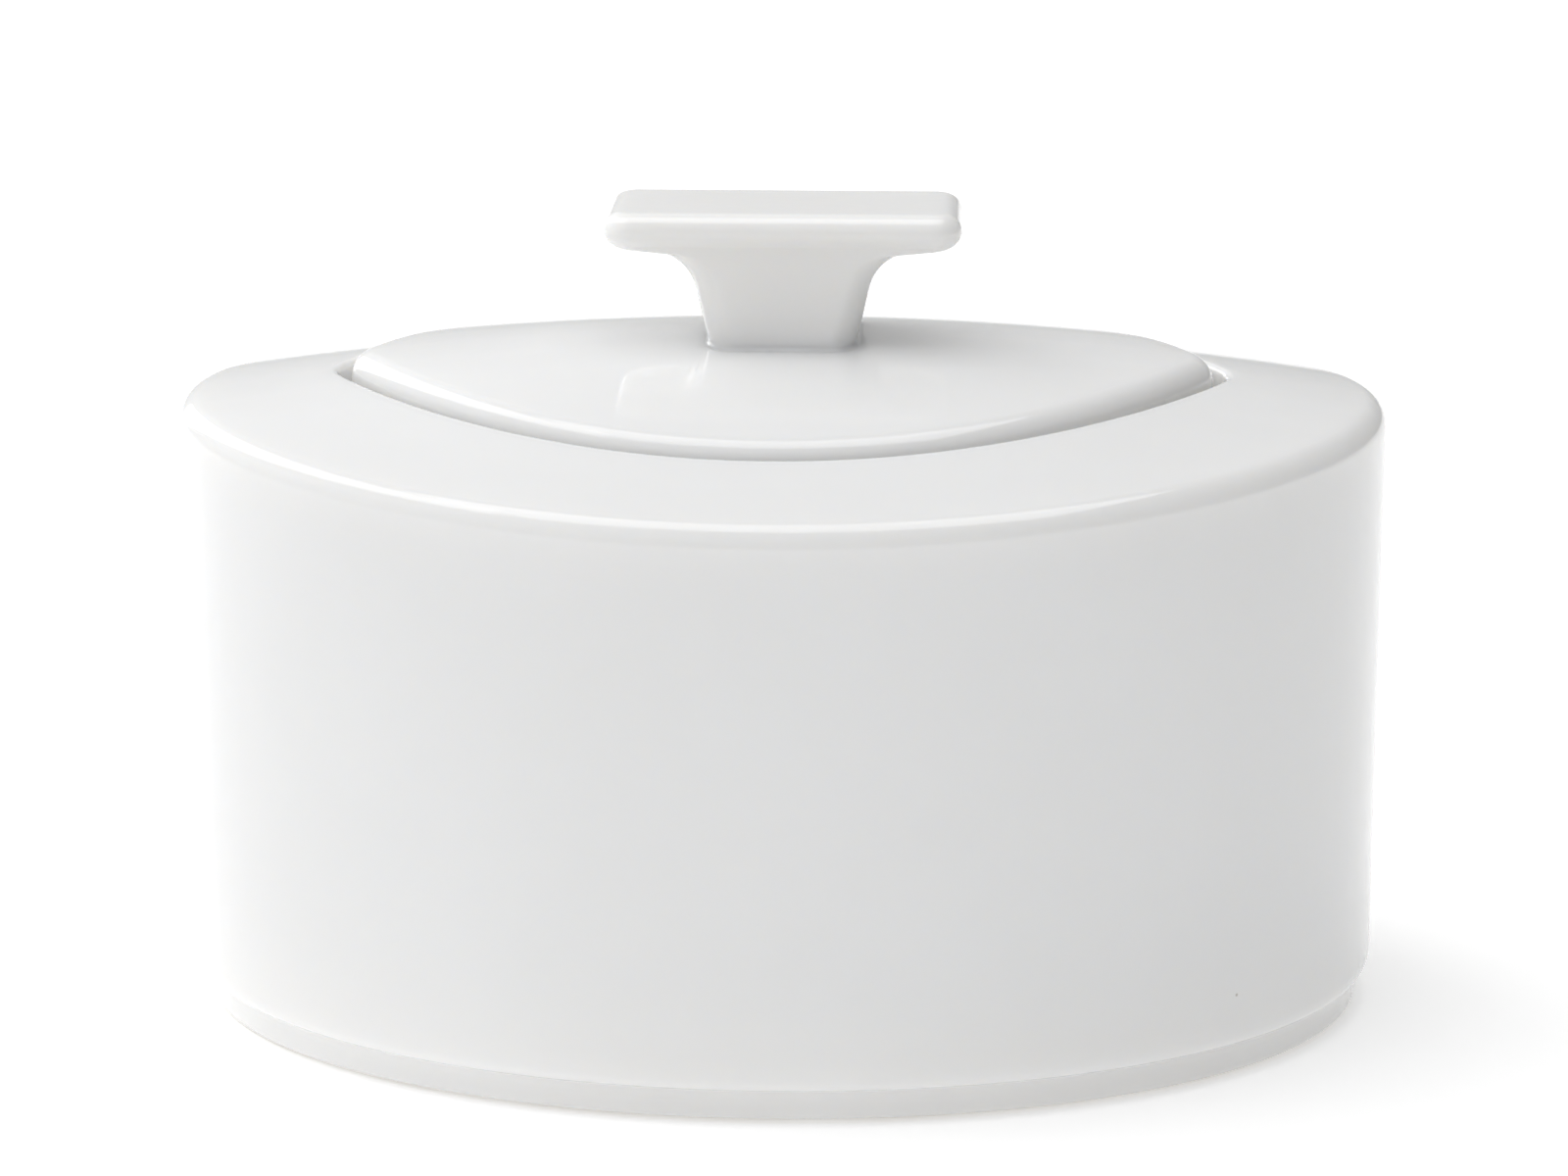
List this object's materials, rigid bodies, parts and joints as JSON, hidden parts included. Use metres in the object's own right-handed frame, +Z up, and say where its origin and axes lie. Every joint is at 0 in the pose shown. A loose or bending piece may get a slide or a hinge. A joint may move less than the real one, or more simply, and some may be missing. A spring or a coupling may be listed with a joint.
{
  "type": "covered sugar bowl",
  "caption": "Oval glazed porcelain sugar bowl with a domed shoulder, a lens-shaped drop-in lid and a T-shaped knob; the lid lifts off.",
  "frame": {"origin": "on the table under the middle of the foot ring", "axes": "+X along the bowl's length and the knob's bar, +Y towards the back, +Z up"},
  "size_m": [0.13, 0.092, 0.0874],
  "materials": {
    "white_glaze": "gloss"
  },
  "bodies": {
    "bowl": {"bowl": "white_glaze"},
    "lid": {"lid": "white_glaze", "knob": "white_glaze"}
  },
  "joints": [
    {"name": "lid_lift", "type": "slide", "parent": "bowl", "child": "lid", "axis": [0, 0, 1], "range_m": [0, 0.06]}
  ]
}
